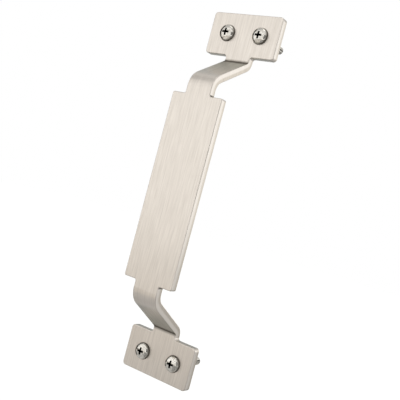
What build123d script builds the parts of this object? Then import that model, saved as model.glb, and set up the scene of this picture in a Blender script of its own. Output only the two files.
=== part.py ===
"""Barn door pull handle.

One flat steel bar is cut to its outline and bent four times, so that a wide grip stands off the door on two
narrow necks between two mounting plates. Four cross-recess screws hold it to the door through the plates.

Millimetres. +X is to the right, +Y points into the door and +Z runs up the handle. The door's face is the
plane Y = 0, and the origin lies on it, midway between the four screws.
"""
from build123d import *

import math
import os

# Bar
BAR_THICKNESS = 4.8
EDGE_RADIUS = 0.5           # rounding of every cut edge

# Mounting plates
PLATE_WIDTH = 46.0
PLATE_HEIGHT = 24.8
PLATE_CORNER_RADIUS = 2.0

# Grip
GRIP_WIDTH = 32.5
GRIP_LENGTH = 105.0
GRIP_CORNER_RADIUS = 1.0
FINGER_GAP = 29.4           # clear depth between the door's face and the back of the grip

# Necks
NECK_WIDTH = 16.0
NECK_RUN_AT_PLATE = 2.15    # straight stretch between a plate and the bend beside it
NECK_RUN_AT_GRIP = 4.2      # straight stretch between the grip and the bend beside it
BEND_ANGLE = 60.0
PLATE_BEND_RADIUS = 2.0     # inside radius of the bend beside a plate
GRIP_BEND_RADIUS = 6.0      # inside radius of the bend beside the grip
PLATE_NOTCH_RADIUS = 1.5    # inner corner where a neck leaves a plate
GRIP_NOTCH_RADIUS = 1.0     # inner corner where a neck leaves the grip

# Screws
SCREW_SPACING = 22.0        # between the two screws of one plate
SCREW_TO_END = 12.0         # from the screws of a plate to the end of the handle
SCREW_LENGTH = 26.5         # below the head
THREAD_DIAMETER = 4.8       # over the crests
THREAD_CHAMFER = 0.6        # at the blunt end
SHANK_DIAMETER = 4.2        # plain stretch between the head and the thread
SHANK_PAST_PLATE = 0.2      # by how much the plain stretch comes out behind the plate
HOLE_CLEARANCE = 0.2        # between the thread and the hole that it passes through, all round
HEAD_DIAMETER = 9.4
HEAD_HEIGHT = 3.0
HEAD_RIM = 0.9              # straight side of the head below its dome

# Cross recess of a screw
RECESS_SPAN = 4.6           # across opposite wings, at the top of the head
RECESS_SLOT = 1.1           # width of a wing
RECESS_CORE = 1.9           # diameter of the round middle
RECESS_DEPTH = 2.2
RECESS_TAPER = 26.5         # angle between a wing's outer end and the screw's axis

# Extra length by which a cut or a blank passes what it meets
OVERLAP = 2.0


def bend_reach(inside_radius):
    """Length of the bar's middle line, on each side of a corner, that the bend there takes."""
    middle_radius = inside_radius + BAR_THICKNESS / 2
    return middle_radius * math.tan(math.radians(BEND_ANGLE / 2))


# Heights above the middle of the handle, from the grip outwards
GRIP_BEND_Z = GRIP_LENGTH / 2 + NECK_RUN_AT_GRIP + bend_reach(GRIP_BEND_RADIUS)
PLATE_BEND_Z = GRIP_BEND_Z + FINGER_GAP / math.tan(math.radians(BEND_ANGLE))
PLATE_EDGE_Z = PLATE_BEND_Z + bend_reach(PLATE_BEND_RADIUS) + NECK_RUN_AT_PLATE
PLATE_MIDDLE_Z = PLATE_EDGE_Z + PLATE_HEIGHT / 2
HANDLE_END_Z = PLATE_EDGE_Z + PLATE_HEIGHT
SCREW_Z = HANDLE_END_Z - SCREW_TO_END

# The four screws seen from the front, with the door's face as the plane
SCREW_PATTERN = GridLocations(SCREW_SPACING, 2 * SCREW_Z, 2, 2)


def bent_bar():
    """The bar before its outline is cut: its flat section swept along the bent middle line."""
    plate_y = -BAR_THICKNESS / 2
    grip_y = plate_y - FINGER_GAP
    end_z = HANDLE_END_Z + OVERLAP
    upper_half = [(plate_y, end_z), (plate_y, PLATE_BEND_Z), (grip_y, GRIP_BEND_Z)]
    lower_half = [(y, -z) for y, z in reversed(upper_half)]
    corners = [(0, y, z) for y, z in upper_half + lower_half]
    plate_radius = PLATE_BEND_RADIUS + BAR_THICKNESS / 2
    grip_radius = GRIP_BEND_RADIUS + BAR_THICKNESS / 2
    middle_line = FilletPolyline(*corners, radius=[plate_radius, grip_radius, grip_radius, plate_radius])
    stock_width = max(PLATE_WIDTH, GRIP_WIDTH) + 2 * OVERLAP
    start = Plane(corners[0], x_dir=(1, 0, 0), z_dir=(0, 0, -1))
    return sweep(start * Rectangle(stock_width, BAR_THICKNESS), path=middle_line)


def front_outline():
    """Outline of the handle from the front: two plates and a grip, joined by the strip of the necks."""
    strip = Rectangle(NECK_WIDTH, 2 * PLATE_MIDDLE_Z)
    grip = RectangleRounded(GRIP_WIDTH, GRIP_LENGTH, GRIP_CORNER_RADIUS)
    plate = RectangleRounded(PLATE_WIDTH, PLATE_HEIGHT, PLATE_CORNER_RADIUS)
    outline = strip + grip + Pos(0, PLATE_MIDDLE_Z) * plate + Pos(0, -PLATE_MIDDLE_Z) * plate
    for height, radius in ((PLATE_EDGE_Z, PLATE_NOTCH_RADIUS), (GRIP_LENGTH / 2, GRIP_NOTCH_RADIUS)):
        notches = outline.vertices().filter_by(
            lambda corner: math.isclose(abs(corner.X), NECK_WIDTH / 2, abs_tol=1e-6)
            and math.isclose(abs(corner.Y), height, abs_tol=1e-6)
        )
        outline = fillet(notches, radius)
    return outline


def pull_strap():
    """The bent bar, cut to its outline, with its edges rounded and the screw holes drilled."""
    bar = bent_bar()
    full_depth = FINGER_GAP + BAR_THICKNESS + OVERLAP
    cutter = extrude(Plane.XZ * front_outline(), amount=full_depth, both=True)
    strap = bar & cutter
    cut_edges = new_edges(bar, cutter, combined=strap)
    strap = fillet(cut_edges, EDGE_RADIUS)
    holes = Sketch() + SCREW_PATTERN * Circle(THREAD_DIAMETER / 2 + HOLE_CLEARANCE)
    return strap - extrude(Plane.XZ * holes, amount=BAR_THICKNESS + OVERLAP, both=True)


def cross_recess():
    """The cross-shaped hollow in a screw's head: two crossed slots within a cone that narrows downwards."""
    height = RECESS_DEPTH + OVERLAP
    bottom_z = HEAD_HEIGHT - RECESS_DEPTH
    spread = math.tan(math.radians(RECESS_TAPER))
    bottom_radius = RECESS_SPAN / 2 - RECESS_DEPTH * spread
    top_radius = RECESS_SPAN / 2 + OVERLAP * spread
    reach = 2 * top_radius
    slots = Rectangle(reach, RECESS_SLOT) + Rectangle(RECESS_SLOT, reach) + Circle(RECESS_CORE / 2)
    base = (Align.CENTER, Align.CENTER, Align.MIN)
    cone = Cone(bottom_radius, top_radius, height, align=base)
    return Pos(0, 0, bottom_z) * (cone & extrude(slots, amount=height))


def screw():
    """One screw along Z, with the underside of its head at Z = 0 and the head above."""
    head_radius = HEAD_DIAMETER / 2
    shank_radius = SHANK_DIAMETER / 2
    thread_radius = THREAD_DIAMETER / 2
    thread_start = -BAR_THICKNESS - SHANK_PAST_PLATE
    sides = Polyline(
        (0, HEAD_HEIGHT),
        (0, -SCREW_LENGTH),
        (thread_radius - THREAD_CHAMFER, -SCREW_LENGTH),
        (thread_radius, -SCREW_LENGTH + THREAD_CHAMFER),
        (thread_radius, thread_start),
        (shank_radius, thread_start),
        (shank_radius, 0),
        (head_radius, 0),
        (head_radius, HEAD_RIM),
    )
    dome = EllipticalCenterArc((0, HEAD_RIM), head_radius, HEAD_HEIGHT - HEAD_RIM, arc_size=90)
    half_section = Plane.XZ * make_face(sides + dome)
    return revolve(half_section, Axis.Z) - cross_recess()


def mounting_screws():
    """The four screws, each seated on the front of its plate."""
    plate_front = Plane((0, -BAR_THICKNESS, 0), x_dir=(1, 0, 0), z_dir=(0, -1, 0))
    return Compound(children=[plate_front * place * screw() for place in SCREW_PATTERN])


os.makedirs("parts", exist_ok=True)
export_step(pull_strap(), "parts/pull_strap.step")
export_step(mounting_screws(), "parts/mounting_screws.step")
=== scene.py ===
# %% [markdown]
# This lesson dresses a barn door pull handle. The real handle is one flat steel bar, bent four times and plated in
# satin nickel, and four domed screws hold it to the door. The CAD model already has the right shapes, so we load it
# as a fixed frame. In Blender we then give the bar its brushed finish and model the screws again, this time with
# their threads.

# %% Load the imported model
import math

import bpy
from mathutils import Matrix, Vector


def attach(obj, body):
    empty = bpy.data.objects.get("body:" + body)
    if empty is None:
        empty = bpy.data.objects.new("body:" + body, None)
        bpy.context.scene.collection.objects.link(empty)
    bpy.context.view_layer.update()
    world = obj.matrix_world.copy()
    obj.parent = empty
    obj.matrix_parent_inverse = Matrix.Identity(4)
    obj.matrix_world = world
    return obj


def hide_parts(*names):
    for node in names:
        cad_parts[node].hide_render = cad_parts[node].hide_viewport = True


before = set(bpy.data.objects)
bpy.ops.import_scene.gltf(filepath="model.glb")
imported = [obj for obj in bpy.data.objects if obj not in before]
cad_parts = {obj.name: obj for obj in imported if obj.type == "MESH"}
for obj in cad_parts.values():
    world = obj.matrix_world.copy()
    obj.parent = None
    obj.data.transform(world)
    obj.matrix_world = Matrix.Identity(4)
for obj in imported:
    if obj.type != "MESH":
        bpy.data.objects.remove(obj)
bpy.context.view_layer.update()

MM = 0.001      # a millimetre in metres, which are Blender's unit


def in_mm(lengths):
    """Lengths in metres as a list of millimetres, rounded for printing."""
    return [round(length / MM, 1) for length in lengths]


# %% [markdown]
# Every finish below is a small graph of nodes. One function adds a node, sets what is fixed on it and links the rest,
# so that a material reads from top to bottom. Colours are written as sRGB hex values, as a paint chart gives them,
# and a second function turns them into the linear values that the renderer works with.

# %% Helpers for materials
def colour(code):
    """An sRGB hex code as a linear colour with alpha 1."""
    shares = [int(code[i:i + 2], 16) / 255 for i in (1, 3, 5)]
    linear = [s / 12.92 if s <= 0.04045 else ((s + 0.055) / 1.055) ** 2.4 for s in shares]
    return (*linear, 1.0)


def add_node(tree, kind, inputs=None, **settings):
    """Adds a node. inputs maps a socket's name or number to a value, or to the output that feeds it."""
    node = tree.nodes.new(kind)
    for name, value in settings.items():
        setattr(node, name, value)
    for socket, value in (inputs or {}).items():
        if isinstance(value, bpy.types.NodeSocket):
            tree.links.new(value, node.inputs[socket])
        else:
            node.inputs[socket].default_value = value
    return node


def new_material(name):
    """An empty material with nodes, as (material, its node tree)."""
    material = bpy.data.materials.new(name)
    material.use_nodes = True
    material.node_tree.nodes.clear()
    return material, material.node_tree


print("mid grey, linear:", round(colour("#808080")[0], 3))

# %% [markdown]
# Satin nickel is a thin layer of nickel on steel, brushed with an abrasive belt along the bar. The eye sees a warm,
# pale grey metal with fine streaks along its length, and reflections that are blurred, far more across the streaks
# than along them. A picture of brushed metal could be wrapped round the bar, but it would show its seams and blur
# close up. Noise that is stretched along the bar does better: wide streaks tint the colour, and fine lines change the
# roughness and the bump. A real belt leaves lines under 0.1 mm apart. They would vanish in the picture, so they are
# drawn wider here. The front shows lines across X. On the narrow sides X does not change, so there the lines are laid
# across Y.

# %% Brushing streaks of the satin nickel
STREAK_WIDTH = 0.7 * MM
STREAK_LENGTH = 16 * MM
LINE_WIDTH = 0.35 * MM
LINE_LENGTH = 12 * MM
NOISE_DETAIL, NOISE_ROUGHNESS = 3.0, 0.6
NOISE_LOW, NOISE_HIGH = 0.3, 0.7        # noise seldom leaves this range
NICKEL_DARK = "#E1D9CF"
NICKEL_LIGHT = "#F2EAE0"

satin_nickel, bar_tree = new_material("brushed_satin_nickel")
bar_place = add_node(bar_tree, "ShaderNodeTexCoord")
bar_normal = add_node(bar_tree, "ShaderNodeSeparateXYZ", {0: bar_place.outputs["Normal"]})
sideways = add_node(bar_tree, "ShaderNodeMath", {0: bar_normal.outputs["X"]}, operation="ABSOLUTE")
brushing = {}
for mark, width, length in (("streaks", STREAK_WIDTH, STREAK_LENGTH), ("lines", LINE_WIDTH, LINE_LENGTH)):
    on_front = (1 / width, 1 / length, 1 / length)
    on_sides = (1 / length, 1 / width, 1 / length)
    noises = []
    for marks_per_metre in (on_front, on_sides):
        stretched = add_node(bar_tree, "ShaderNodeMapping", {
            "Vector": bar_place.outputs["Object"], "Scale": marks_per_metre,
        })
        noises.append(add_node(bar_tree, "ShaderNodeTexNoise", {
            "Vector": stretched.outputs["Vector"], "Scale": 1.0,
            "Detail": NOISE_DETAIL, "Roughness": NOISE_ROUGHNESS,
        }))
    brushing[mark] = add_node(bar_tree, "ShaderNodeMix", {
        0: sideways.outputs[0], 2: noises[0].outputs[0], 3: noises[1].outputs[0],
    }, data_type="FLOAT").outputs[0]
streak_tone = add_node(bar_tree, "ShaderNodeMapRange", {
    "Value": brushing["streaks"], "From Min": NOISE_LOW, "From Max": NOISE_HIGH,
})
streaked_nickel = add_node(bar_tree, "ShaderNodeMix", {
    0: streak_tone.outputs[0], 6: colour(NICKEL_DARK), 7: colour(NICKEL_LIGHT),
}, data_type="RGBA")
print("streaks, mm:", STREAK_WIDTH / MM, "wide,", STREAK_LENGTH / MM, "long")

# %% [markdown]
# The next finishes depend on where a point lies on the bent bar. The handle is the same above and below its middle,
# and left and right of it, so the absolute value of the place folds its quarters into one. The middle line of the bar
# then runs at one depth along the grip, at another along the plate, and on a slope between them. A Map Range draws
# the slope. A smooth maximum and a smooth minimum round it off into the two flats, as the bends do. Painting on the
# mesh would be an easier start, but the CAD mesh has to stay as it is.

# %% Middle line of the bent bar
GRIP_BEND_Z = 61.55 * MM                # where the straight runs would meet
PLATE_BEND_Z = 78.52 * MM
GRIP_MIDDLE_Y = -31.8 * MM
PLATE_MIDDLE_Y = -2.4 * MM
GRIP_BEND_ROUNDING = 9.2 * MM           # how far the rounding of a bend reaches
PLATE_BEND_ROUNDING = 4.8 * MM

folded = add_node(bar_tree, "ShaderNodeVectorMath", {0: bar_place.outputs["Object"]}, operation="ABSOLUTE")
off_centre = add_node(bar_tree, "ShaderNodeSeparateXYZ", {0: folded.outputs[0]})
slope = add_node(bar_tree, "ShaderNodeMapRange", {
    "Value": off_centre.outputs["Z"], "From Min": GRIP_BEND_Z, "From Max": PLATE_BEND_Z,
    "To Min": GRIP_MIDDLE_Y, "To Max": PLATE_MIDDLE_Y,
}, clamp=False)
grip_and_slope = add_node(bar_tree, "ShaderNodeMath", {
    0: slope.outputs[0], 1: GRIP_MIDDLE_Y, 2: GRIP_BEND_ROUNDING,
}, operation="SMOOTH_MAX")
middle_line = add_node(bar_tree, "ShaderNodeMath", {
    0: grip_and_slope.outputs[0], 1: PLATE_MIDDLE_Y, 2: PLATE_BEND_ROUNDING,
}, operation="SMOOTH_MIN")
bar_spot = add_node(bar_tree, "ShaderNodeSeparateXYZ", {0: bar_place.outputs["Object"]})
behind_middle = add_node(bar_tree, "ShaderNodeMath", {
    0: bar_spot.outputs["Y"], 1: middle_line.outputs[0],
}, operation="SUBTRACT")
print("middle line, mm: grip at", GRIP_MIDDLE_Y / MM, "and plates at", PLATE_MIDDLE_Y / MM)

# %% [markdown]
# The bar was sheared to its outline. Its narrow sides are drawn lighter next to the front and duller behind:
# partly the real burnished and torn zones of a sheared edge, and partly a painted highlight and painted shade across
# the side. They could be two materials on two strips of faces, but the change between them is soft and a side is a
# single face of the CAD, so the distance behind the middle line draws them.

# %% Sheared sides, with painted highlight and shade
BURNISH_HIGHLIGHT_TO = -0.8 * MM                # behind the middle line
TORN_SHADE_FROM = 1.4 * MM
BURNISH_HIGHLIGHT_COLOUR = "#F6EFE6"
TORN_SHADE_TINT = "#EFEEEA"
SIDE_FROM, SIDE_FULL = 0.75, 0.95       # how far the surface looks to the side, from 0 to 1

torn_shade = add_node(bar_tree, "ShaderNodeMapRange", {
    "Value": behind_middle.outputs[0], "From Min": BURNISH_HIGHLIGHT_TO, "From Max": TORN_SHADE_FROM,
}, interpolation_type="SMOOTHSTEP")
burnish_highlight = add_node(bar_tree, "ShaderNodeMath", {0: 1.0, 1: torn_shade.outputs[0]}, operation="SUBTRACT")
narrow_side = add_node(bar_tree, "ShaderNodeMapRange", {
    "Value": sideways.outputs[0], "From Min": SIDE_FROM, "From Max": SIDE_FULL,
})
burnish_highlight_side = add_node(bar_tree, "ShaderNodeMath", {
    0: burnish_highlight.outputs[0], 1: narrow_side.outputs[0],
}, operation="MULTIPLY")
torn_shade_side = add_node(bar_tree, "ShaderNodeMath", {
    0: torn_shade.outputs[0], 1: narrow_side.outputs[0],
}, operation="MULTIPLY")
burnish_highlight_nickel = add_node(bar_tree, "ShaderNodeMix", {
    0: burnish_highlight_side.outputs[0], 6: streaked_nickel.outputs[2], 7: colour(BURNISH_HIGHLIGHT_COLOUR),
}, data_type="RGBA")
sheared_shaded_nickel = add_node(bar_tree, "ShaderNodeMix", {
    0: torn_shade_side.outputs[0], 6: burnish_highlight_nickel.outputs[2], 7: colour(TORN_SHADE_TINT),
}, data_type="RGBA", blend_type="MULTIPLY")
print("burnished down to", BURNISH_HIGHLIGHT_TO / MM, "mm and torn from", TORN_SHADE_FROM / MM, "mm behind the middle line")

# %% [markdown]
# Towards the bend beside each plate the slope is painted darker, with a dark line in the bend itself: painted shade
# for the shadow of a tight bend. A lamp could throw a shadow there, but it would move with the lamp, and the painted
# shade belongs to the bar. So a colour ramp over the height gives the painted shade at each place, and it multiplies
# the nickel on the front of the bar alone.

# %% Painted shade in the bends
RAMP_START_Z = 60 * MM
RAMP_END_Z = 84 * MM
BEND_SHADE_TINTS = (                          # height in mm above the middle of the handle, and tint
    (64, "#FFFFFF"), (69, "#F0F3F4"), (73, "#DFE6E8"), (78, "#D1D9DB"),
    (79.1, "#74726F"), (79.7, "#74726F"), (80.2, "#DAD9D6"), (81.3, "#FFFFFF"),
)
FRONT_FROM, FRONT_FULL = -0.1, -0.4     # how far the surface looks towards the door, from -1 to 1

up_neck = add_node(bar_tree, "ShaderNodeMapRange", {
    "Value": off_centre.outputs["Z"], "From Min": RAMP_START_Z, "From Max": RAMP_END_Z,
})
painted_bend_shade = add_node(bar_tree, "ShaderNodeValToRGB", {0: up_neck.outputs[0]})
stops = painted_bend_shade.color_ramp.elements
while len(stops) < len(BEND_SHADE_TINTS):
    stops.new(1.0)
for stop, (z, code) in zip(stops, BEND_SHADE_TINTS):
    stop.position = (z * MM - RAMP_START_Z) / (RAMP_END_Z - RAMP_START_Z)
    stop.color = colour(code)
front = add_node(bar_tree, "ShaderNodeMapRange", {
    "Value": bar_normal.outputs["Y"], "From Min": FRONT_FROM, "From Max": FRONT_FULL,
})
bend_shaded_nickel = add_node(bar_tree, "ShaderNodeMix", {
    0: front.outputs[0], 6: sheared_shaded_nickel.outputs[2], 7: painted_bend_shade.outputs["Color"],
}, data_type="RGBA", blend_type="MULTIPLY")
print("film in the bends from", BEND_SHADE_TINTS[0][0], "to", BEND_SHADE_TINTS[-1][0], "mm above the middle")

# %% [markdown]
# A thin dark line is painted on the plate round each screw head: painted shadow in the seam under the head. A ring
# of its own would be a piece with no thickness, so the line belongs to the plate's material. It is drawn from the
# distance to the screw's axis, seen from the front, and the folded place makes one ring serve all four screws.

# %% Painted shadow in the seams round the screw heads
SCREW_X = 11.0 * MM
SCREW_Z = 96.014 * MM
HEAD_RADIUS = 4.7 * MM
SEAM_WIDTH = 0.25 * MM
# The film at the seam is painted shadow.
SEAM_SHADE = 0.8                         # share of the film at its darkest
FROM_THE_FRONT = (1, 0, 1)              # times a distance, leaves out the depth

from_screw = add_node(bar_tree, "ShaderNodeVectorMath", {
    0: folded.outputs[0], 1: (SCREW_X, 0, SCREW_Z),
}, operation="SUBTRACT")
across_plate = add_node(bar_tree, "ShaderNodeVectorMath", {
    0: from_screw.outputs[0], 1: FROM_THE_FRONT,
}, operation="MULTIPLY")
from_axis = add_node(bar_tree, "ShaderNodeVectorMath", {0: across_plate.outputs[0]}, operation="LENGTH")
past_seam = add_node(bar_tree, "ShaderNodeMath", {
    0: from_axis.outputs["Value"], 1: HEAD_RADIUS + SEAM_WIDTH / 2,
}, operation="SUBTRACT")
off_seam = add_node(bar_tree, "ShaderNodeMath", {0: past_seam.outputs[0]}, operation="ABSOLUTE")
seam_shade_ring = add_node(bar_tree, "ShaderNodeMapRange", {
    "Value": off_seam.outputs[0], "From Min": SEAM_WIDTH / 4, "From Max": SEAM_WIDTH,
    "To Min": SEAM_SHADE, "To Max": 0.0,
}, interpolation_type="SMOOTHSTEP")
painted_seam_shade = add_node(bar_tree, "ShaderNodeMath", {0: seam_shade_ring.outputs[0], 1: front.outputs[0]}, operation="MULTIPLY")
print("seams:", SEAM_WIDTH / MM, "mm wide round heads of", 2 * HEAD_RADIUS / MM, "mm")

# %% [markdown]
# The inner corners where the necks leave the grip are painted dark as well: painted shade on their small round walls.
# It is drawn like the seams, from the distance to the corner, but on everything that is not the front. Both are then
# laid over the nickel.

# %% Painted shade in the corners of the notches
NOTCH_X = 8.0 * MM
NOTCH_Z = 52.5 * MM
NOTCH_RADIUS = 1.0 * MM
NOTCH_SHADE = 0.85
# Colour of the painted shade in the seams, in the notch corners and at the foot of the screw heads.
PAINTED_SHADE_COLOUR = "#463F36"

from_notch = add_node(bar_tree, "ShaderNodeVectorMath", {
    0: folded.outputs[0], 1: (NOTCH_X, 0, NOTCH_Z),
}, operation="SUBTRACT")
across_outline = add_node(bar_tree, "ShaderNodeVectorMath", {
    0: from_notch.outputs[0], 1: FROM_THE_FRONT,
}, operation="MULTIPLY")
from_corner = add_node(bar_tree, "ShaderNodeVectorMath", {0: across_outline.outputs[0]}, operation="LENGTH")
corner_shade_ring = add_node(bar_tree, "ShaderNodeMapRange", {
    "Value": from_corner.outputs["Value"], "From Min": NOTCH_RADIUS / 2, "From Max": 1.5 * NOTCH_RADIUS,
    "To Min": NOTCH_SHADE, "To Max": 0.0,
}, interpolation_type="SMOOTHSTEP")
not_front = add_node(bar_tree, "ShaderNodeMath", {0: 1.0, 1: front.outputs[0]}, operation="SUBTRACT")
painted_notch_shade = add_node(bar_tree, "ShaderNodeMath", {
    0: corner_shade_ring.outputs[0], 1: not_front.outputs[0],
}, operation="MULTIPLY")
bar_painted_shade = add_node(bar_tree, "ShaderNodeMath", {
    0: painted_seam_shade.outputs[0], 1: painted_notch_shade.outputs[0],
}, operation="MAXIMUM")
bar_colour = add_node(bar_tree, "ShaderNodeMix", {
    0: bar_painted_shade.outputs[0], 6: bend_shaded_nickel.outputs[2], 7: colour(PAINTED_SHADE_COLOUR),
}, data_type="RGBA")
print("dark corners at", NOTCH_X / MM, "and", NOTCH_Z / MM, "mm from the middle")

# %% [markdown]
# The shader puts the finish together. A brushed metal is rougher across its lines than along them. Real scratches
# would need millions of faces, so the Anisotropic value does their work. The tangent says which way is across: at
# right angles to the surface and to the length of the bar.

# %% Satin nickel on the bar
SATIN_SMOOTH, SATIN_ROUGH = 0.36, 0.46
SCRATCH_DEPTH = 0.02 * MM
SCRATCH_STRENGTH = 0.12
ANISOTROPY = 0.65
ALONG_BAR = (0.05, 0.0, 1.0)            # tilted a little, so that it is at an angle to every face

satin = add_node(bar_tree, "ShaderNodeMapRange", {
    "Value": brushing["lines"], "From Min": NOISE_LOW, "From Max": NOISE_HIGH,
    "To Min": SATIN_SMOOTH, "To Max": SATIN_ROUGH,
})
scratches = add_node(bar_tree, "ShaderNodeBump", {
    "Height": brushing["lines"], "Strength": SCRATCH_STRENGTH, "Distance": SCRATCH_DEPTH,
})
across_bar = add_node(bar_tree, "ShaderNodeVectorMath", {
    0: bar_place.outputs["Normal"], 1: ALONG_BAR,
}, operation="CROSS_PRODUCT")
bar_metal = add_node(bar_tree, "ShaderNodeBsdfPrincipled", {
    "Base Color": bar_colour.outputs[2], "Metallic": 1.0, "Roughness": satin.outputs[0],
    "Anisotropic": ANISOTROPY, "Tangent": across_bar.outputs["Vector"], "Normal": scratches.outputs["Normal"],
})
add_node(bar_tree, "ShaderNodeOutputMaterial", {"Surface": bar_metal.outputs[0]})

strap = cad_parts["pull_strap"]
strap.data.materials.clear()
strap.data.materials.append(satin_nickel)
print("pull_strap:", len(strap.data.polygons), "triangles, in", satin_nickel.name)

# %% [markdown]
# The screws are bright nickel plated. They come smooth from the cold heading tool and are not brushed, so they mirror
# the studio more sharply than the bar does. A perfect mirror would look like a computer's, so a faint ripple bends
# the reflections, and the same noise leaves greyer stains in the plating.

# %% Stained bright nickel
RIPPLE = 0.9 * MM
RIPPLE_DEPTH = 0.05 * MM
RIPPLE_STRENGTH = 0.35
STAINED_AT, CLEAN_AT = 0.35, 0.65       # of the noise
STAINED_NICKEL = "#C8C3B9"
CLEAN_NICKEL = "#F4F0E8"
POLISH_SMOOTH, POLISH_ROUGH = 0.08, 0.18

bright_nickel, screw_tree = new_material("bright_nickel_plate")
screw_place = add_node(screw_tree, "ShaderNodeTexCoord")
ripple = add_node(screw_tree, "ShaderNodeTexNoise", {
    "Vector": screw_place.outputs["Object"], "Scale": 1 / RIPPLE,
})
waves = add_node(screw_tree, "ShaderNodeBump", {
    "Height": ripple.outputs[0], "Strength": RIPPLE_STRENGTH, "Distance": RIPPLE_DEPTH,
})
clean = add_node(screw_tree, "ShaderNodeMapRange", {
    "Value": ripple.outputs[0], "From Min": STAINED_AT, "From Max": CLEAN_AT,
})
plating = add_node(screw_tree, "ShaderNodeMix", {
    0: clean.outputs[0], 6: colour(STAINED_NICKEL), 7: colour(CLEAN_NICKEL),
}, data_type="RGBA")
polish = add_node(screw_tree, "ShaderNodeMapRange", {
    "Value": ripple.outputs[0], "To Min": POLISH_SMOOTH, "To Max": POLISH_ROUGH,
})
print("ripple of the screws, mm:", RIPPLE / MM)

# %% [markdown]
# The foot of each head beside the plate is painted dark and dull: painted shade that gives each head a dark ring and
# sets it off from the bar. A second material on the lower faces would end in a hard line, so the painted shade is
# drawn by the depth in front of the plate and broken up by a second noise.

# %% Painted shade at the foot of each head
PLATE_THICKNESS = 4.8 * MM
# The film at the foot of the heads is painted shade.
FOOT_SHADE_TOP = 1.7 * MM                # above the plate
FOOT_SHADE_FULL = 1.1 * MM
FOOT_SHADE = 0.9
FOOT_SHADE_GRAIN = 0.7 * MM
PATCH_THIN, PATCH_THICK = 0.6, 1.2      # times the film

screw_spot = add_node(screw_tree, "ShaderNodeSeparateXYZ", {0: screw_place.outputs["Object"]})
foot = add_node(screw_tree, "ShaderNodeMapRange", {
    "Value": screw_spot.outputs["Y"], "From Min": -PLATE_THICKNESS - FOOT_SHADE_TOP,
    "From Max": -PLATE_THICKNESS - FOOT_SHADE_FULL, "To Max": FOOT_SHADE,
}, interpolation_type="SMOOTHSTEP")
before_plate = add_node(screw_tree, "ShaderNodeMath", {
    0: screw_spot.outputs["Y"], 1: -PLATE_THICKNESS,
}, operation="LESS_THAN")
blotches = add_node(screw_tree, "ShaderNodeTexNoise", {
    "Vector": screw_place.outputs["Object"], "Scale": 1 / FOOT_SHADE_GRAIN,
})
patches = add_node(screw_tree, "ShaderNodeMapRange", {
    "Value": blotches.outputs[0], "From Min": NOISE_LOW, "From Max": NOISE_HIGH,
    "To Min": PATCH_THIN, "To Max": PATCH_THICK,
})
head_foot = add_node(screw_tree, "ShaderNodeMath", {
    0: foot.outputs[0], 1: before_plate.outputs[0],
}, operation="MULTIPLY")
foot_painted_shade = add_node(screw_tree, "ShaderNodeMath", {
    0: head_foot.outputs[0], 1: patches.outputs[0],
}, operation="MULTIPLY", use_clamp=True)
print("film at the foot of a head, up to", FOOT_SHADE_TOP / MM, "mm above the plate")

# %% [markdown]
# Two shaders could be mixed for the screws, one for the nickel and one for the painted shade. One shader with mixed
# inputs is simpler, and other programs can read it. Where the painted shade lies, it takes away from Metallic,
# darkens the colour and dulls the shine.

# %% Bright nickel on the screws
# The film here is the painted shade at the foot of the heads.
SHADE_ROUGHNESS = 0.6
SHADE_SPECULAR = 0.1                     # keeps the film dark where it is seen at a low angle

screw_colour = add_node(screw_tree, "ShaderNodeMix", {
    0: foot_painted_shade.outputs[0], 6: plating.outputs[2], 7: colour(PAINTED_SHADE_COLOUR),
}, data_type="RGBA")
shine = add_node(screw_tree, "ShaderNodeMix", {
    0: foot_painted_shade.outputs[0], 2: polish.outputs[0], 3: SHADE_ROUGHNESS,
}, data_type="FLOAT")
bare_metal = add_node(screw_tree, "ShaderNodeMath", {0: 1.0, 1: foot_painted_shade.outputs[0]}, operation="SUBTRACT")
screw_metal = add_node(screw_tree, "ShaderNodeBsdfPrincipled", {
    "Base Color": screw_colour.outputs[2], "Metallic": bare_metal.outputs[0], "Roughness": shine.outputs[0],
    "Specular IOR Level": SHADE_SPECULAR, "Normal": waves.outputs["Normal"],
})
add_node(screw_tree, "ShaderNodeOutputMaterial", {"Surface": screw_metal.outputs[0]})
print(bright_nickel.name, "from", len(screw_tree.nodes), "nodes")

# %% [markdown]
# The cross recess is painted a matte, almost black colour: painted shade for the shadow deep inside it. The depth of
# the recess alone would leave it grey, because bare nickel walls mirror each other, so it gets a material of its own,
# with a fine mottle in its tint and its roughness.

# %% Painted shade in the recess
MOTTLE_GRAIN = 0.4 * MM
RECESS_SHADE_BLACK = "#0C0B0A"
RECESS_SHADE_GREY = "#1C1B19"
MOTTLE_SMOOTH, MOTTLE_ROUGH = 0.5, 0.75

painted_shade_recess, recess_tree = new_material("recess_painted_shade")
recess_place = add_node(recess_tree, "ShaderNodeTexCoord")
recess_mottle = add_node(recess_tree, "ShaderNodeTexNoise", {
    "Vector": recess_place.outputs["Object"], "Scale": 1 / MOTTLE_GRAIN,
    "Detail": NOISE_DETAIL, "Roughness": NOISE_ROUGHNESS,
})
recess_colour = add_node(recess_tree, "ShaderNodeMix", {
    0: recess_mottle.outputs[0], 6: colour(RECESS_SHADE_BLACK), 7: colour(RECESS_SHADE_GREY),
}, data_type="RGBA")
dullness = add_node(recess_tree, "ShaderNodeMapRange", {
    "Value": recess_mottle.outputs[0], "To Min": MOTTLE_SMOOTH, "To Max": MOTTLE_ROUGH,
})
recess_metal = add_node(recess_tree, "ShaderNodeBsdfPrincipled", {
    "Base Color": recess_colour.outputs[2], "Metallic": 1.0, "Roughness": dullness.outputs[0],
})
add_node(recess_tree, "ShaderNodeOutputMaterial", {"Surface": recess_metal.outputs[0]})
print("materials:", satin_nickel.name, bright_nickel.name, painted_shade_recess.name)

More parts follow.
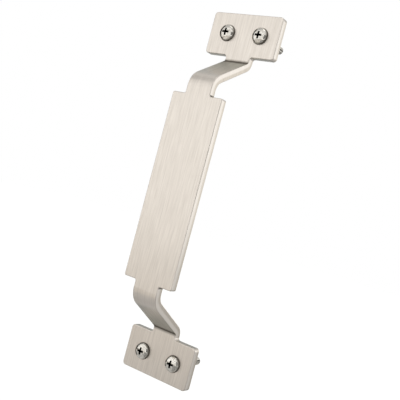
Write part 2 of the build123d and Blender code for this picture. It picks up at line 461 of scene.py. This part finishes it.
# %% [markdown]
# Each screw has a domed head with a cross recess, a plain neck through the plate and a rolled thread behind it. We
# model one screw upright at the origin, with the underside of its head at Z = 0, and copy it at the end. The head
# could be spun from a drawn profile, but a sphere gives its dome at once: the lower half is cut off, the rest is
# pressed flat, and the open rim is pulled down to make the short straight side, closed, inset and pulled down again
# to make the neck.

# %% Screw head and neck
HEAD_HEIGHT = 3.0 * MM
HEAD_RIM = 0.9 * MM
HEAD_SEGMENTS = 72
NECK_RADIUS = 2.1 * MM
NECK_PAST_PLATE = 0.2 * MM
NECK_IN_THREAD = 0.6 * MM
ORIGIN = (0.0, 0.0, 0.0)
thread_top = -PLATE_THICKNESS - NECK_PAST_PLATE


def start_piece(name):
    """Names the primitive that was just added and puts its place and size into its mesh."""
    piece = bpy.context.active_object
    piece.name = name
    piece.data.name = name
    bpy.ops.object.transform_apply(location=True, rotation=True, scale=True)
    return piece


bpy.ops.object.select_all(action="DESELECT")
bpy.ops.mesh.primitive_uv_sphere_add(segments=HEAD_SEGMENTS, ring_count=HEAD_SEGMENTS // 2, radius=HEAD_RADIUS)
screw = start_piece("mounting_screw")
bpy.ops.object.mode_set(mode="EDIT")
bpy.ops.mesh.select_all(action="SELECT")
bpy.ops.mesh.bisect(plane_co=ORIGIN, plane_no=(0, 0, 1), clear_inner=True)
bpy.ops.mesh.select_all(action="SELECT")
bpy.ops.transform.resize(value=(1, 1, (HEAD_HEIGHT - HEAD_RIM) / HEAD_RADIUS), center_override=ORIGIN)
bpy.ops.transform.translate(value=(0, 0, HEAD_RIM))
bpy.ops.mesh.select_all(action="DESELECT")
bpy.ops.mesh.select_mode(type="EDGE")
bpy.ops.mesh.select_non_manifold()
bpy.ops.mesh.extrude_region_move(TRANSFORM_OT_translate={"value": (0, 0, -HEAD_RIM)})
bpy.ops.mesh.edge_face_add()
bpy.ops.mesh.select_mode(type="FACE")
bpy.ops.mesh.inset(thickness=HEAD_RADIUS - NECK_RADIUS)
bpy.ops.mesh.extrude_region_move(TRANSFORM_OT_translate={"value": (0, 0, thread_top - NECK_IN_THREAD)})
bpy.ops.object.mode_set(mode="OBJECT")
print("head and neck:", len(screw.data.polygons), "faces, height, mm:", round(screw.dimensions.z / MM, 2))

# %% [markdown]
# The cross recess is the print of a driver's tip: two crossed wings that get narrower towards the bottom, round a
# middle core. It could be cut into the dome face by face, which would spoil its even mesh. Instead we make the
# driver's tip and let Boolean modifiers take it out of the head. One wing is a block whose lower end is scaled down,
# and the core is a cone.

# %% Driver's tip
RECESS_SPAN = 4.6 * MM
RECESS_BOTTOM_SPAN = 2.4 * MM
RECESS_SLOT = 1.3 * MM
RECESS_DRAFT = 0.8                      # width at the bottom, as a share of the width at the top
RECESS_CORE_RADIUS = 1.05 * MM
RECESS_CORE_SIDES = 32
RECESS_DEPTH = 2.2 * MM
ABOVE_HEAD = 0.6 * MM
recess_bottom = HEAD_HEIGHT - RECESS_DEPTH
tip_height = RECESS_DEPTH + ABOVE_HEAD
tip_middle = recess_bottom + tip_height / 2
top_span = RECESS_SPAN + (RECESS_SPAN - RECESS_BOTTOM_SPAN) * ABOVE_HEAD / RECESS_DEPTH


def select_vertices(piece, wanted):
    """Selects those vertices of a piece in edit mode whose place passes the test."""
    bpy.ops.mesh.select_mode(type="VERT")
    bpy.ops.mesh.select_all(action="DESELECT")
    bpy.ops.object.mode_set(mode="OBJECT")
    for vertex in piece.data.vertices:
        vertex.select = wanted(vertex.co)
    bpy.ops.object.mode_set(mode="EDIT")


bpy.ops.object.select_all(action="DESELECT")
bpy.ops.mesh.primitive_cube_add(size=1, location=(0, 0, tip_middle), scale=(top_span, RECESS_SLOT, tip_height))
wing = start_piece("recess_wing")
bpy.ops.object.mode_set(mode="EDIT")
select_vertices(wing, lambda spot: spot.z < tip_middle)
bpy.ops.transform.resize(
    value=(RECESS_BOTTOM_SPAN / top_span, RECESS_DRAFT, 1), center_override=(0, 0, recess_bottom),
)
bpy.ops.object.mode_set(mode="OBJECT")
bpy.ops.object.select_all(action="DESELECT")
bpy.ops.mesh.primitive_cone_add(
    vertices=RECESS_CORE_SIDES, radius1=RECESS_DRAFT * RECESS_CORE_RADIUS, radius2=RECESS_CORE_RADIUS,
    depth=tip_height, location=(0, 0, tip_middle),
)
core = start_piece("recess_core")
print("driver's tip, mm:", in_mm(wing.dimensions))

# %% [markdown]
# The tip is taken out of the head wing by wing, the second time turned by a quarter, and then the core. The walls of
# the recess could be picked out for their painted shade afterwards, but there is a shorter way: the tip wears that
# material, and a Boolean that transfers materials leaves it on the walls that it cuts.

# %% Cross recess
def apply_modifier(piece, kind, **settings):
    """Adds a modifier to a piece and applies it at once."""
    bpy.ops.object.select_all(action="DESELECT")
    bpy.context.view_layer.objects.active = piece
    piece.select_set(True)
    modifier = piece.modifiers.new(kind.lower(), kind)
    for name, value in settings.items():
        setattr(modifier, name, value)
    bpy.ops.object.modifier_apply(modifier=modifier.name)


screw.data.materials.append(bright_nickel)
for cutter in (wing, core):
    cutter.data.materials.append(painted_shade_recess)
for cutter, turn in ((wing, 0), (wing, 90), (core, 0)):
    cutter.rotation_euler.z = math.radians(turn)
    bpy.context.view_layer.update()
    apply_modifier(screw, "BOOLEAN", operation="DIFFERENCE", solver="EXACT", object=cutter, material_mode="TRANSFER")
for cutter in (wing, core):
    bpy.data.objects.remove(cutter)
print("head with its recess:", len(screw.data.polygons), "faces")

# %% [markdown]
# The thread is rolled, so its crests stand out past the plain neck. A bump in the material could fake it, but its
# outline would stay straight, and two of the screws show theirs beside the plates. A thread is one small V that
# climbs one pitch with each turn. To draw that V, we stand up a plane that is one pitch high, keep its outer edge
# alone and pull the middle of that edge outwards.

# %% V of the thread
SCREW_LENGTH = 26.5 * MM
THREAD_RADIUS = 2.4 * MM
THREAD_PITCH = 1.06 * MM
THREAD_DEPTH = 0.55 * MM
SPARE_TURNS = 2
root_radius = THREAD_RADIUS - THREAD_DEPTH
thread_start = -SCREW_LENGTH - SPARE_TURNS * THREAD_PITCH
half_pitch = THREAD_PITCH / 2

bpy.ops.object.select_all(action="DESELECT")
bpy.ops.mesh.primitive_plane_add(
    size=THREAD_PITCH, rotation=(math.pi / 2, 0, 0),
    location=(root_radius - half_pitch, 0, thread_start + half_pitch),
)
thread = start_piece("thread")
bpy.ops.object.mode_set(mode="EDIT")
select_vertices(thread, lambda spot: spot.x < root_radius - half_pitch)
bpy.ops.mesh.delete(type="VERT")
bpy.ops.mesh.select_all(action="SELECT")
bpy.ops.mesh.subdivide(number_cuts=1)
select_vertices(thread, lambda spot: abs(spot.z - thread_start - half_pitch) < half_pitch / 2)
bpy.ops.transform.translate(value=(THREAD_DEPTH, 0, 0))
bpy.ops.object.mode_set(mode="OBJECT")
print("V of the thread:", len(thread.data.vertices), "points, pitch, mm:", THREAD_PITCH / MM)

# %% [markdown]
# The Spin operator could wind the V turn by turn, but a Screw modifier takes the pitch and the number of turns as
# plain numbers and joins each turn to the next. The ends come out ragged. So there are two spare turns at each end,
# and they are cut off square, at the top where the neck begins and at the bottom a little past the tip.

# %% Wound thread
THREAD_STEPS = 40
MERGE = 0.001 * MM
turns = math.ceil((SCREW_LENGTH + thread_top) / THREAD_PITCH) + 2 * SPARE_TURNS
past_tip = -SCREW_LENGTH - THREAD_PITCH / 4

apply_modifier(thread, "SCREW", axis="Z", angle=2 * math.pi, screw_offset=THREAD_PITCH, iterations=turns,
               steps=THREAD_STEPS, render_steps=THREAD_STEPS, use_merge_vertices=True, merge_threshold=MERGE)
bpy.ops.object.mode_set(mode="EDIT")
bpy.ops.mesh.select_all(action="SELECT")
bpy.ops.mesh.remove_doubles(threshold=MERGE)
for cut_z, outwards in ((thread_top, 1), (past_tip, -1)):
    bpy.ops.mesh.select_all(action="SELECT")
    bpy.ops.mesh.bisect(plane_co=(0, 0, cut_z), plane_no=(0, 0, outwards), use_fill=True, clear_outer=True)
bpy.ops.mesh.select_all(action="SELECT")
bpy.ops.mesh.normals_make_consistent(inside=False)
bpy.ops.object.mode_set(mode="OBJECT")
print("thread:", turns, "turns wound,", len(thread.data.polygons), "faces")

# %% [markdown]
# The screw ends blunt, with a small chamfer that helps it into its hole. A Bevel modifier would round every crest of
# the thread too. A wide cone, as long as the screw, cuts the tip to length and chamfers it in one go: we keep what is
# inside it. The thread is then joined to the neck, and the screw is shaded smooth except at its sharp edges.

# %% Tip of the screw
TIP_CHAMFER = 0.6 * MM
TIP_SIDES = 64
SHARP_ANGLE = 32                        # degrees between two faces, from which their edge stays sharp
tip_radius = THREAD_RADIUS - TIP_CHAMFER

bpy.ops.object.select_all(action="DESELECT")
bpy.ops.mesh.primitive_cone_add(
    vertices=TIP_SIDES, radius1=tip_radius, radius2=tip_radius + SCREW_LENGTH, depth=SCREW_LENGTH,
    location=(0, 0, -SCREW_LENGTH / 2),
)
tip_cone = start_piece("tip_cone")
apply_modifier(thread, "BOOLEAN", operation="INTERSECT", solver="EXACT", object=tip_cone)
bpy.data.objects.remove(tip_cone)
apply_modifier(screw, "BOOLEAN", operation="UNION", solver="EXACT", object=thread)
bpy.data.objects.remove(thread)
bpy.ops.object.shade_smooth_by_angle(angle=math.radians(SHARP_ANGLE))
print("screw:", len(screw.data.polygons), "faces, length, mm:", round(screw.dimensions.z / MM, 2))

# %% [markdown]
# The finished screw is copied to its four places. Mirroring one would be quick too, but it would turn a right-hand
# thread into a left-hand one. Turned by a quarter about X, the head points out of the door, towards the viewer. The
# turn and the place go into each copy's own mesh, so every object stays at the origin, as the CAD's do.

# %% Four screws in place
facing_out = Matrix.Rotation(math.pi / 2, 4, "X")
corners = {"upper_left": (-1, 1), "upper_right": (1, 1), "lower_left": (-1, -1), "lower_right": (1, -1)}
for corner, (right, up) in corners.items():
    copy = bpy.data.objects.new(f"mounting_screw_{corner}", screw.data.copy())
    copy.data.name = copy.name
    seat = Vector((right * SCREW_X, -PLATE_THICKNESS, up * SCREW_Z))
    copy.data.transform(Matrix.Translation(seat) @ facing_out)
    bpy.context.scene.collection.objects.link(copy)
    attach(copy, "root")
    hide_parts("mounting_screws")
bpy.data.objects.remove(screw)
print("screws:", ", ".join(f"mounting_screw_{corner}" for corner in corners))

# %% [markdown]
# The handle is photographed on white. A sheet of matte white paper lies below it and takes its shadow: it scatters
# light evenly and has next to no gloss. More light would make it white, but would bleach the metal too. Light Path is
# the better way: the paper glows a little, and only for what the camera sees and for what metal or glass shows of it.
# Paper fibres are much finer than the grain that is drawn here, which is as fine as the picture can show.

# %% Matte white paper
WHITE = "#FFFFFF"
PAPER_COLOUR = "#F2F2F0"
PAPER_GRAIN = 0.8 * MM
PAPER_RELIEF = 0.1 * MM
RELIEF_STRENGTH = 0.05
PAPER_ROUGHNESS = 0.9
PAPER_SPECULAR = 0.1
PAPER_GLOW = 0.5


def seen_directly(tree):
    """The output that is 1 for what the camera, metal or glass shows, and 0 for what only gives light."""
    path = add_node(tree, "ShaderNodeLightPath")
    seen = path.outputs["Is Camera Ray"]
    for ray in ("Is Glossy Ray", "Is Transmission Ray"):
        seen = add_node(tree, "ShaderNodeMath", {0: seen, 1: path.outputs[ray]}, operation="MAXIMUM").outputs[0]
    return seen


paper, paper_tree = new_material("matte_white_paper")
paper_place = add_node(paper_tree, "ShaderNodeTexCoord")
paper_grain = add_node(paper_tree, "ShaderNodeTexNoise", {
    "Vector": paper_place.outputs["Object"], "Scale": 1 / PAPER_GRAIN,
})
fibres = add_node(paper_tree, "ShaderNodeBump", {
    "Height": paper_grain.outputs[0], "Strength": RELIEF_STRENGTH, "Distance": PAPER_RELIEF,
})
glow = add_node(paper_tree, "ShaderNodeMath", {0: seen_directly(paper_tree), 1: PAPER_GLOW}, operation="MULTIPLY")
sheet = add_node(paper_tree, "ShaderNodeBsdfPrincipled", {
    "Base Color": colour(PAPER_COLOUR), "Roughness": PAPER_ROUGHNESS, "Specular IOR Level": PAPER_SPECULAR,
    "Normal": fibres.outputs["Normal"], "Emission Color": colour(WHITE), "Emission Strength": glow.outputs[0],
})
add_node(paper_tree, "ShaderNodeOutputMaterial", {"Surface": sheet.outputs[0]})
print("grain of the paper, mm:", PAPER_GRAIN / MM)

# %% [markdown]
# The sheet lies flat below the handle. A thin box would have an edge, but only the upper side of the paper is ever
# seen, so a plane is enough. It is so wide that its end is lost in the white behind it.

# %% Paper floor
FLOOR_Z = -165 * MM
FLOOR_SIZE = 4.0

bpy.ops.object.select_all(action="DESELECT")
bpy.ops.mesh.primitive_plane_add(size=FLOOR_SIZE, location=(0, 0, FLOOR_Z))
floor = start_piece("paper_floor")
floor.data.materials.append(paper)
print("floor at", round(FLOOR_Z / MM), "mm")

# %% [markdown]
# Behind the paper there is only the world. It is plain white where it is seen, with a strength of 1, and a weaker
# fill where it lights the handle. A backdrop would do the same, but it would stand in the way when the handle is seen
# from behind.

# %% White world
FILL_STRENGTH = 0.6

world = bpy.data.worlds.new("white_studio")
bpy.context.scene.world = world
world.use_nodes = True
world_tree = world.node_tree
world_tree.nodes.clear()
fill = add_node(world_tree, "ShaderNodeBackground", {"Color": colour(WHITE), "Strength": FILL_STRENGTH})
backdrop = add_node(world_tree, "ShaderNodeBackground", {"Color": colour(WHITE), "Strength": 1.0})
fill_or_backdrop = add_node(world_tree, "ShaderNodeMixShader", {
    0: seen_directly(world_tree), 1: fill.outputs[0], 2: backdrop.outputs[0],
})
add_node(world_tree, "ShaderNodeOutputWorld", {"Surface": fill_or_backdrop.outputs[0]})
print("fill strength:", FILL_STRENGTH)

# %% [markdown]
# Three large square lamps give soft light: one from above, one from the front on the left, and one from behind on the
# right. Small lamps would draw hard highlights on the bends. A lamp's power grows with its face, so it is worked out
# from the brightness that the face should have, where 1 is white.

# %% Soft lamps
LAMPS = {                               # place and side in metres, brightness of the face
    "overhead_lamp": ((0.05, -0.2, 0.7), 0.3, 0.9),
    "key_lamp": ((-0.6, -0.95, 0.08), 0.8, 0.16),
    "rear_lamp": ((0.6, 0.9, 0.12), 0.6, 0.28),
}


def turned_to(direction):
    """The turn that points an object's Z axis along a direction."""
    return Vector(direction).to_track_quat("Z", "Y").to_euler()


for name, (place, side, brightness) in LAMPS.items():
    lamp_light = bpy.data.lights.new(name, "AREA")
    lamp_light.shape = "SQUARE"
    lamp_light.size = side
    lamp_light.energy = brightness * math.pi * side**2
    lamp = bpy.data.objects.new(name, lamp_light)
    lamp.location = place
    lamp.rotation_euler = turned_to(place)
    bpy.context.scene.collection.objects.link(lamp)
print("lamps:", ", ".join(LAMPS))

# %% [markdown]
# Metal looks like what it mirrors, and white all round would make it look like paper. A photographer sets up grey
# cards that the camera does not see, and the metal shows them as its soft darker and lighter zones. Here a card is a
# plane that shines at its own level, where 1 is white, and only reflections see it. The cards on the floor lie in
# thin layers, so that the upper one hides the lower one where two overlap.

# %% Grey cards on the floor
WARM = "#FFFAF4"
COOL = "#F2FCFF"
LAYER = 1 * MM
UP = (0, 0, 1)
FLOOR_CARDS = {                         # middle and size along X and Y in metres, layer, level, tint
    "front_floor_card": ((-0.25, -0.45), (0.9, 0.9), 1, 0.66, WARM),
    "right_floor_card": ((0.5, 0.7), (1.0, 1.4), 1, 0.48, WHITE),
    "under_card": ((-0.25, 0.28), (0.6, 0.5), 2, 0.26, COOL),
    "middle_floor_card": ((-0.16, -0.2), (0.36, 0.4), 2, 0.77, WARM),
    "near_left_floor_card": ((-0.1, -0.075), (0.2, 0.21), 3, 0.54, WHITE),
    "near_floor_card": ((0.2, -0.19), (0.4, 0.36), 3, 0.32, WHITE),
    "left_floor_card": ((-0.56, -0.05), (0.5, 0.4), 3, 0.04, WHITE),
    "under_left_card": ((-0.2, 0.01), (0.21, 0.1), 4, 0.04, WHITE),
}


def grey_card(name, place, direction, size, level, tint):
    """A card that only the metal's reflections see, as bright as its level, where 1 is white."""
    card_paint, card_tree = new_material(name + "_paint")
    card_light = add_node(card_tree, "ShaderNodeEmission", {"Color": colour(tint), "Strength": level})
    add_node(card_tree, "ShaderNodeOutputMaterial", {"Surface": card_light.outputs[0]})
    bpy.ops.object.select_all(action="DESELECT")
    bpy.ops.mesh.primitive_plane_add(size=1, location=place, rotation=turned_to(direction))
    bpy.context.active_object.scale = (*size, 1)
    card = start_piece(name)
    card.data.materials.append(card_paint)
    for sight in ("camera", "diffuse", "transmission", "shadow", "volume_scatter"):
        setattr(card, "visible_" + sight, False)


for name, (middle, size, layer, level, tint) in FLOOR_CARDS.items():
    grey_card(name, (*middle, FLOOR_Z + layer * LAYER), UP, size, level, tint)
print("cards on the floor:", len(FLOOR_CARDS))

# %% [markdown]
# The other cards stand or hang round the handle. The dark one on the left draws the dark rim of the screw heads. The
# three at the rear left show in the narrow faces of the plates and in the slopes, the one at the front right in the
# edge line along the bar, and the two below the ceiling in the upper bend and slope.

# %% Standing and hanging grey cards
FROM_REAR_LEFT = (0.62, -0.78, 0.0)
FROM_FRONT_RIGHT = (-0.81, 0.58, 0.0)
FROM_LEFT = (1, 0, 0)
DOWN = (0, 0, -1)
RAISED_CARDS = {                        # middle in metres, direction, width and height in metres, level, tint
    "left_card": ((-0.66, -0.05, 0.3), FROM_LEFT, (0.45, 0.95), 0.04, WHITE),
    "rear_left_low_card": ((-0.42, 0.52, -0.08), FROM_REAR_LEFT, (1.0, 0.16), 0.64, COOL),
    "rear_left_middle_card": ((-0.42, 0.52, 0.125), FROM_REAR_LEFT, (1.0, 0.25), 0.15, COOL),
    "rear_left_high_card": ((-0.42, 0.52, 0.49), FROM_REAR_LEFT, (1.0, 0.48), 0.51, COOL),
    "right_front_card": ((0.7, -0.5, 0.0), FROM_FRONT_RIGHT, (0.9, 0.9), 0.2, WHITE),
    "front_ceiling_card": ((0, -0.16, 0.75), DOWN, (2.2, 0.82), 0.62, WHITE),
    "rear_ceiling_card": ((0, 0.75, 0.75), DOWN, (2.2, 1.0), 0.5, WHITE),
}

for name, card in RAISED_CARDS.items():
    grey_card(name, *card)
print("standing and hanging cards:", len(RAISED_CARDS))

# %% [markdown]
# The camera stands to the right of the handle, level with its middle, and is rolled so that the handle leans to the
# right. It could be placed by eye, but then no edge would quite meet the photograph's. Its place, lens and roll were
# worked out from the straight edges there. Standard view leaves the colours as they are written.

# %% Camera
CAMERA_PLACE = Vector((208.47, -329.29, 1.15)) * MM
CAMERA_AIM = Vector((8.13, -17.0, -2.03)) * MM
CAMERA_ROLL = 14.943                    # degrees
LENS = 60.368                           # this and the sensor are in mm, as Blender asks for them
SENSOR_WIDTH = 36.0
NEAREST_VIEW = 10 * MM

camera_data = bpy.data.cameras.new("camera")
camera_data.lens = LENS
camera_data.sensor_width = SENSOR_WIDTH
camera_data.clip_start = NEAREST_VIEW
camera = bpy.data.objects.new("camera", camera_data)
bpy.context.scene.collection.objects.link(camera)
look = (CAMERA_AIM - CAMERA_PLACE).to_track_quat("-Z", "Y").to_matrix().to_4x4()
roll = Matrix.Rotation(math.radians(CAMERA_ROLL), 4, "Z")
camera.matrix_world = Matrix.Translation(CAMERA_PLACE) @ look @ roll
bpy.context.scene.camera = camera
bpy.context.scene.view_settings.view_transform = "Standard"
print("camera at, mm:", in_mm(CAMERA_PLACE))
